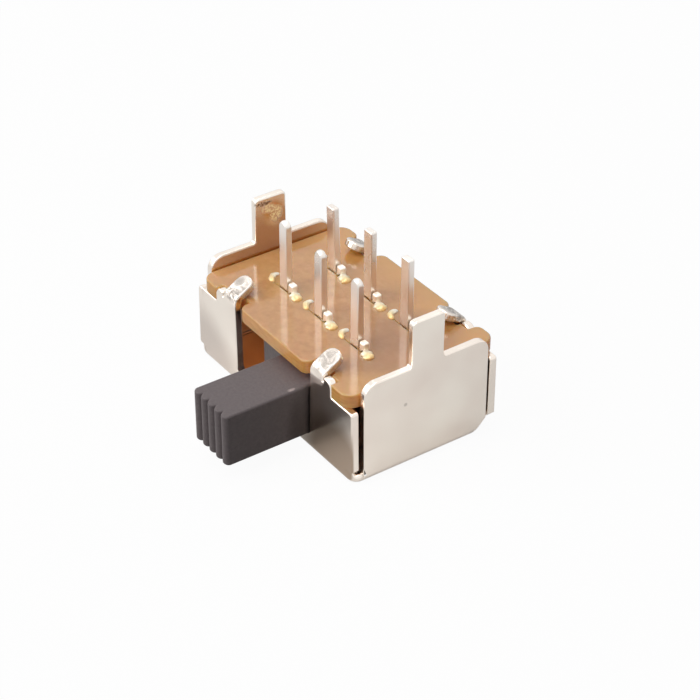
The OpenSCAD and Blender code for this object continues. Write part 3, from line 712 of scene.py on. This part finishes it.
def drawn_corner(steps=36, along=14):
    """Turns the fold's section from 0 to 90 degrees about (CORNER_X, -CORNER_Y): x = X + q cos a,
    y = -(Y + q sin a). At length l up the outside, the section leans by b = min(l / R, 90 degrees):
    q = R sin b + r, z = R (1 - cos b) + what is left of l. The sheet's length is cut back by the relief
    hole, depth exp(-((a - place) / half width)^4), and its rim is a half circle."""
    turn = np.linspace(0, pi / 2, steps + 1)[:, None]
    degrees = np.degrees(turn)
    cut = RELIEF * np.exp(-((degrees - RELIEF_AT) / RELIEF_HALF) ** 4)
    cut = cut + SLIT_DIP * np.exp(-(degrees / SLIT_HALF) ** 2)
    length = QUARTER + SLIT_Z - OUT_R - SHEET / 2 - cut
    l = np.linspace(0, 1, along)[None] * length
    b = np.minimum(l / OUT_R, pi / 2)
    q = CORNER_R - OUT_R + OUT_R * np.sin(b)
    z = OUT_R * (1 - np.cos(b)) + np.maximum(l - QUARTER, 0)
    outer, normal = np.stack([q, z]), np.stack([np.sin(b), -np.cos(b)])
    last = normal[..., -1:]
    rim = np.linspace(0, pi, 9)[None, 1:-1]
    rim_normal = np.cos(rim) * last + np.sin(rim) * np.stack([-last[1], last[0]])
    rim = outer[..., -1:] - SHEET / 2 * last + SHEET / 2 * rim_normal
    q, z = np.concatenate([outer, rim, (outer - SHEET * normal)[..., ::-1]], -1)
    nq, nz = np.concatenate([normal, rim_normal, -normal[..., ::-1]], -1)
    c, s = np.cos(turn), np.sin(turn)
    co = np.stack([CORNER_X + q * c, -(CORNER_Y + q * s), z], -1)
    no = np.stack([nq * c, -nq * s, nz], -1)
    n = q.shape[1]
    faces = ring_quads(steps + 1, n).tolist() + [list(range(n))[::-1], [steps * n + k for k in range(n)]]
    return co.reshape(-1, 3), no.reshape(-1, 3), faces


corner = drawn_corner()
build("case", [strip, end, placed(end, MIRROR_X), corner, placed(corner, MIRROR_X)], nickel, "frame",
      "frame")

# %% [markdown]
# ## The terminal board
# One punched slab: four stepped notches let the case's lugs and tabs through. The terminals were pressed in
# so hard that the laminate closed over their roots, and only a thin open line in front of each one is left
# of its slot. So the slab gets that line, and the terminal stands right through its skin.

# %% The terminal board
BOARD_L, BOARD_Y, BOARD_SHIFT, BOARD_T = 5.24, 3.58, 0.08, 0.62  # half lengths, middle in Y, thickness
NOTCH_IN, NOTCH_OUT, NOTCH_Y, LUG_Y = 2.40, 4.10, 2.95, 3.13
ROWS, COLUMNS = (-1.12, 1.28), (-2.5, 0, 2.5)
SLOT_X, SLOT_Y = (-0.70, 0.66), (-0.195, -0.15)  # the open line, about a pin's middle
FLOOR_UP, FLOOR_T = 0.18, 0.4  # where the line's bottom piece starts, and its thickness


def board_side(edge_y, sign):
    """Corners of one long side, from +X to -X: the board's corner, then the two notches."""
    e, n, lug = sign * edge_y, sign * NOTCH_Y, sign * LUG_Y
    lobe = 0.3 if sign > 0 else 0.12
    half = [(BOARD_L, e, 0.55), (NOTCH_OUT, e, lobe), (NOTCH_OUT, lug, 0.06), (LUG_SLIT, lug, 0.09),
            (LUG_SLIT, n, 0.06), (NOTCH_IN, n, 0.06), (NOTCH_IN, e, 0.38)]
    return half + mirrored(half)


board_outline = board_side(BOARD_Y + BOARD_SHIFT, 1) + board_side(BOARD_Y - BOARD_SHIFT, -1)[::-1]
slots = [rounded([(x + SLOT_X[i], y + SLOT_Y[j], 0.01) for i, j in ((0, 0), (0, 1), (1, 1), (1, 0))])
         for x in COLUMNS for y in ROWS]
board_part = slab([rounded(board_outline), *slots], BOARD_T, [0.07] + [0.006] * len(slots))
slot_floors = [placed(slab([s[::-1]], FLOOR_T, 0.004), AS_IT_IS, (0, 0, SHOULDER + FLOOR_UP)) for s in slots]
build("terminal_card", [placed(board_part, AS_IT_IS, (0, 0, SHOULDER)), *slot_floors], laminate, "frame",
      "terminal_board")

# %% [markdown]
# ## The six terminals
# Each is a flat stamping that stands in its slot: a pin, a short prong staked beside it, a root that fills
# the slot, and a contact blade below. The front pins have round bullet tips, the rear ones are cut square,
# and the first rear pin leans.

# %% The terminals
PIN_HALF, PIN_FOOT, STOCK, CUT_EDGE = 0.26, -0.07, 0.3, 0.035  # heights are over the board's face
PRONG_IN, PRONG_OUT, PRONG_TOP, PRONG_EDGE = 0.32, 0.66, 0.42, 0.09
ROOT_HALF, ROOT_TOP, WING_HALF, WING_H = 0.67, -0.08, 0.95, 0.3
BLADE_HALF, BLADE_L = 0.75, 1.8


def terminal(i, row, height, tip_r, tip_edge, lean=0.0):
    """Outline in X and Z about the pin's foot, anticlockwise. The root's top lies just under the laminate's
    skin. A leaning pin's corners are turned about its foot by x cos - z sin, x sin + z cos."""
    c, s = cos(lean), sin(lean)
    pin = [(x * c - z * s, z * c + x * s, r) for x, z, r in
           [(PIN_HALF, PIN_FOOT, 0.01), (PIN_HALF, height, tip_r), (-PIN_HALF, height, tip_r),
            (-PIN_HALF, PIN_FOOT, 0.01)]]
    wing = SHOULDER - BOARD_TOP
    below = [(-ROOT_HALF, wing, 0.03), (-WING_HALF, wing, 0.04), (-WING_HALF, wing - WING_H, 0.04),
             (-BLADE_HALF, wing - WING_H, 0.03), (-BLADE_HALF, wing - BLADE_L, 0.3)]
    outline = rounded([
        (ROOT_HALF, ROOT_TOP, 0.01), (PRONG_OUT, 0.12, 0), (PRONG_OUT, PRONG_TOP, 0.1),
        (PRONG_IN, PRONG_TOP, 0.1), (PRONG_IN, 0.12, 0), (PRONG_IN, PIN_FOOT, 0.01), *pin,
        (-ROOT_HALF, ROOT_TOP, 0.05), *below, *mirrored(below)])
    x, z = outline.T
    edge = CUT_EDGE + (tip_edge - CUT_EDGE) * np.clip((z - height + 0.3) / 0.2, 0, 1)
    on_prong = (x > 0.3) & (z > 0.1) & (z < 0.5)
    edge = np.where(on_prong, PRONG_EDGE, edge)
    part = placed(slab([outline], STOCK, [edge], steps=5), STAND,
                  (COLUMNS[i], ROWS[row == "rear"] + STOCK / 2, BOARD_TOP))
    piece = build(f"pin_{row}_{i + 1}", [part], tinned, "frame", f"terminal_{row}_{i + 1}")
    piece.data.materials.append(staked)
    polygons = piece.data.polygons
    middle = np.zeros(len(polygons) * 3)
    polygons.foreach_get("center", middle)
    x, _, z = middle.reshape(-1, 3).T / MM
    bruised = (x > COLUMNS[i] + 0.3) & (z > BOARD_TOP + 0.02)
    polygons.foreach_set("material_index", bruised.astype(int))


BULLET, SQUARE = (0.25, 0.12), (0.08, 0.06)  # radius of a tip's corners, and rounding of its edges
for i in range(3):
    terminal(i, "front", 3.15 if i == 0 else 3.05, *BULLET)
terminal(0, "rear", 2.95, *SQUARE, lean=radians(3))
terminal(1, "rear", 3.15, *SQUARE)
terminal(2, "rear", 3.15, *SQUARE)

# %% [markdown]
# ## Staking marks
# Each terminal has a pale mark at both ends of its slot: a bent one round the -X end, and a lens-shaped one
# past the prong. A mark is a flattened tube along a short curved path, thickest in its middle and a little
# lumpy, as a punch leaves it.

# %% One staking mark
def mark(points, width, height, seed):
    """A closed pad: path P(t) is the quadratic curve through three points, its section an ellipse width x
    height, both scaled by sqrt(1 - (2t - 1)^4)."""
    rng = np.random.default_rng(seed)
    p0, p1, p2 = (np.array(p, float) for p in points)
    t = np.linspace(0, 1, 25)[:, None]
    path = 2 * (t - 0.5) * (t - 1) * p0 + 4 * t * (1 - t) * p1 + 2 * t * (t - 0.5) * p2
    along = np.gradient(path, axis=0)
    along /= np.linalg.norm(along, axis=1)[:, None]
    side = np.stack([-along[:, 1], along[:, 0]], 1)
    size = np.sqrt(np.maximum(1 - (2 * t - 1) ** 4, 1e-6))
    a = np.linspace(0, 2 * pi, 16, endpoint=False)[None]
    lumps = 1 + 0.08 * np.sin(3 * a + 9 * t + rng.uniform(0, 6)) + 0.07 * np.sin(17 * t + rng.uniform(0, 6))
    across = size * width / 2 * np.cos(a) * lumps
    z = size * height * np.sin(a) * (0.8 + 0.2 * lumps)
    co = np.stack([path[:, :1] + side[:, :1] * across, path[:, 1:] + side[:, 1:] * across, z], -1)
    rings, n = co.shape[:2]
    faces = ring_quads(rings, n)[:, ::-1].tolist()
    faces += [list(range(n)), [(rings - 1) * n + q for q in range(n)][::-1]]
    return co.reshape(-1, 3), faces, np.repeat(t, n, axis=1).ravel()


print("one mark:", len(mark([(0, 0), (1, 0.1), (2, 0)], 0.4, 0.1, 0)[1]), "faces")

# %% All the marks
def add_marks(name, points, width, height, seed):
    """All six marks of one kind in one mesh, with t as the U coordinate."""
    co, faces, ts, at = [], [], [], 0
    for number, (x, y) in enumerate((x, y) for y in ROWS for x in COLUMNS):
        c, f, t = mark(points, width, height, seed + number)
        co.append(c + [x, y, BOARD_TOP])
        faces += [[at + i for i in face] for face in f]
        ts.append(t)
        at += len(c)
    piece = new_piece(name, np.concatenate(co), faces, crushed)
    corners = np.zeros(len(piece.data.loops), int)
    piece.data.loops.foreach_get("vertex_index", corners)
    uv = np.zeros((len(corners), 2))
    uv[:, 0] = np.concatenate(ts)[corners]
    piece.data.uv_layers.new(name="along").data.foreach_set("uv", uv.ravel())
    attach(piece, "frame")
    print(name, len(piece.data.polygons), "faces")


add_marks("staking_marks_bent", [(-1.0, 0.34), (-1.0, -0.04), (-0.62, -0.2)], 0.26, 0.11, 0)
add_marks("staking_marks_lens", [(0.60, -0.04), (0.84, -0.1), (1.16, -0.13)], 0.46, 0.13, 40)

# %% [markdown]
# ## The slider
# The handle and the carriage are one moulding. The handle is a slab seen from above, with five round ribs
# at its end and softly rounded long edges. The carriage is a block with two channels for the contact clips,
# drawn as a section in Y and Z and run along X.

# %% The handle
REST_X, HANDLE_HALF, HANDLE_Z, HANDLE_H, TIP_Y = 1.4, 1.2, 0.78, 2.35, -7.30
RIBS, RIB_W, RIB_DEPTH = 5, 0.48, 0.18
SIDE_Y = [-6.9, -6.0, -4.0, -3.0]  # points along the handle's sides, the last one inside
rib_r = (RIB_W ** 2 / 4 + RIB_DEPTH ** 2) / (2 * RIB_DEPTH)
reach = asin(RIB_W / 2 / rib_r)
a = np.linspace(-reach * 0.97, reach * 0.97, 15)
rib_y = TIP_Y + rib_r - rib_r * np.cos(a)
ribs = np.concatenate([np.stack([(i - RIBS // 2) * RIB_W + rib_r * np.sin(a), rib_y], 1) for i in range(RIBS)])
sides = [(HANDLE_HALF, y) for y in SIDE_Y] + [(-HANDLE_HALF, y) for y in SIDE_Y[::-1]]
handle = placed(slab([np.concatenate([ribs, sides])], HANDLE_H, 0.1, steps=5), AS_IT_IS, (REST_X, 0, HANDLE_Z))
print("handle:", len(handle[0]), "points, ribs of radius", round(rib_r, 3), "mm")

# %% The carriage, and the whole slider
BLOCK_HALF, BLOCK_L, BLOCK_EDGE = 3.05, 5.4, 0.08
BLOCK_FOOT, BLOCK_TOP, CHANNEL_HALF, CHANNEL_Z = 0.45, 3.25, 0.52, 0.8
block = [(-BLOCK_HALF, BLOCK_FOOT, BLOCK_EDGE), (BLOCK_HALF, BLOCK_FOOT, BLOCK_EDGE),
         (BLOCK_HALF, BLOCK_TOP, BLOCK_EDGE)]
for y in reversed(ROWS):
    block += [(y + CHANNEL_HALF, BLOCK_TOP, 0.05), (y + CHANNEL_HALF, CHANNEL_Z, 0.05),
              (y - CHANNEL_HALF, CHANNEL_Z, 0.05), (y - CHANNEL_HALF, BLOCK_TOP, 0.05)]
block += [(-BLOCK_HALF, BLOCK_TOP, BLOCK_EDGE)]
carriage = placed(slab([rounded(block)], BLOCK_L, BLOCK_EDGE), [[0, 0, 1], [1, 0, 0], [0, 1, 0]],
                  (REST_X - BLOCK_L / 2, 0, 0))
build("slide_handle", [handle, carriage], plastic, "slider", "slider")

# %% [markdown]
# ## Inside
# The contact clips, the detent ball and its spring sit inside and hardly show, so the CAD model's own
# meshes serve. They only take a finish.

# %% Finishes for the inner pieces
for name, finish in (("contact_clip_front", bronze), ("contact_clip_rear", bronze),
                     ("detent_ball", bright), ("detent_spring", bright)):
    nodes[name].data.materials.clear()
    nodes[name].data.materials.append(finish)
    print(name, "is", finish.name)

# %% [markdown]
# ## Camera, floor and light
# The camera looks from the right and above with a long lens, from 82 mm away. It is aimed 2 mm above the
# bottom of the switch, and it is level to a fifth of a degree.

# %% The camera
AZIMUTH, ELEVATION, ROLL = radians(55.0), radians(34.76), radians(0.196)
DISTANCE, AIM_Z = 81.95, 2
LENS, SENSOR, SHIFT_X, SHIFT_Y = 103.3, 36.0, 0.0089, -0.0017
NEAR, FAR = 0.001, 10  # in metres


def towards(azimuth, elevation):
    """Unit vector to a place seen from the switch: (sin a cos e, -cos a cos e, sin e)."""
    return Vector((sin(azimuth) * cos(elevation), -cos(azimuth) * cos(elevation), sin(elevation)))


back = towards(AZIMUTH, ELEVATION)
level = Vector((cos(AZIMUTH), sin(AZIMUTH), 0))
right = cos(ROLL) * level + sin(ROLL) * back.cross(level)
upright = back.cross(right)
stand = (Vector((0, 0, AIM_Z)) + back * DISTANCE) * MM
camera = new_object("camera", bpy.data.cameras.new("camera"))
camera.matrix_world = Matrix([[right[i], upright[i], back[i], stand[i]] for i in range(3)] + [[0, 0, 0, 1]])
camera.data.lens, camera.data.sensor_width = LENS, SENSOR
camera.data.shift_x, camera.data.shift_y = SHIFT_X, SHIFT_Y
camera.data.clip_start, camera.data.clip_end = NEAR, FAR
scene.camera = camera
print("camera at", [round(v / MM, 1) for v in stand], "mm")

# %% [markdown]
# The floor is a sheet of white card, as in a light tent. Plain card would throw too much light up at the
# case, so it answers each kind of ray by itself. The camera sees it 95% as pure white, with a faint shadow.
# Mirrored rays see it 14% as pure white and for the rest as lit card, and diffuse rays see a grey card. It is
# one-sided and open under the case, so that the underside can be looked at.

# %% The floor
SEEN_WHITE, MIRRORED_WHITE = 0.95, 0.14
CARD_HALF, DROP = 2000, 0.02
OPENING_IN = 0.04  # the opening's step in from the flat bottom's edge
floor_finish, t = material("white_card")
path = add(t, "LightPath")
mirrored_ray = add(t, "Math", {0: path.outputs["Is Glossy Ray"], 1: path.outputs["Is Transmission Ray"]},
                   operation="MAXIMUM")
mirrored_share = add(t, "Math", {0: mirrored_ray, 1: MIRRORED_WHITE}, operation="MULTIPLY")
camera_share = add(t, "Math", {0: path.outputs["Is Camera Ray"], 1: SEEN_WHITE}, operation="MULTIPLY")
share = add(t, "Math", {0: mirrored_share, 1: camera_share}, operation="MAXIMUM")
card_colour = add(t, "Mix", {"Factor": path.outputs["Is Diffuse Ray"], MIX_A: linear("#FBFBFB"),
                             MIX_B: linear("#6C6C6C")}, data_type="RGBA")
card = add(t, "BsdfDiffuse", {"Color": card_colour.outputs[MIX_OUT]})
white = add(t, "Emission", {"Color": (1, 1, 1, 1), "Strength": 1.0})
lit = add(t, "MixShader", {"Fac": share, 1: card, 2: white})
below = add(t, "NewGeometry").outputs["Backfacing"]
clear = add(t, "BsdfTransparent")
one_sided = add(t, "MixShader", {"Fac": below, 1: lit, 2: clear})
add(t, "OutputMaterial", {"Surface": one_sided})
signs = np.array([(-1, -1), (1, -1), (1, 1), (-1, 1)])
ring = np.concatenate([signs * CARD_HALF, signs * [PLATE_X - OPENING_IN, PLATE_Y - OPENING_IN]])
floor = new_piece("floor", np.c_[ring, np.full(len(ring), -DROP)],
                  [(i, (i + 1) % 4, 4 + (i + 1) % 4, 4 + i) for i in range(4)], floor_finish, smooth=False)
print("floor finish has", len(t.nodes), "nodes")

# %% [markdown]
# The world is the tent round the switch. It is white to the camera and in the metal, but gives only 14% of
# that as light. Four big soft lamps give the rest, at the level at which a colour shows as it is written.

# %% The world
world = bpy.data.worlds.new("light_tent")
scene.world = world
world.use_nodes = True
t = world.node_tree
t.nodes.clear()
path = add(t, "LightPath")
seen = add(t, "Math", {0: path.outputs["Is Camera Ray"], 1: path.outputs["Is Glossy Ray"]}, operation="MAXIMUM")
seen = add(t, "Math", {0: seen, 1: path.outputs["Is Transmission Ray"]}, operation="MAXIMUM")
strength = add(t, "MapRange", {"Value": seen, "To Min": 0.14})
sky = add(t, "Background", {"Color": (1, 1, 1, 1), "Strength": strength})
add(t, "OutputWorld", {"Surface": sky})
print("world has", len(t.nodes), "nodes")

# %% The lamps
def lamp(name, azimuth, elevation, distance, size, radiance):
    """A square soft lamp, aimed at the switch, with its angles in degrees and its distance and side in
    metres. Its power is radiance x pi x area."""
    away = towards(radians(azimuth), radians(elevation))
    data = bpy.data.lights.new(name, "AREA")
    data.size = size
    data.energy = radiance * pi * size * size
    obj = new_object(name, data)
    obj.location = away * distance
    obj.rotation_euler = away.to_track_quat("Z", "Y").to_euler()
    print(name, "gives", round(data.energy, 3), "W")


lamp("rear_softbox", 235, 58, 0.30, 0.08, 3.0)
lamp("top_softbox", 20, 80, 0.35, 0.24, 2.1)
lamp("left_softbox", 305, 35, 0.30, 0.10, 1.9)
lamp("front_softbox", 340, 35, 0.35, 0.28, 2.6)
scene.view_settings.view_transform = "Standard"
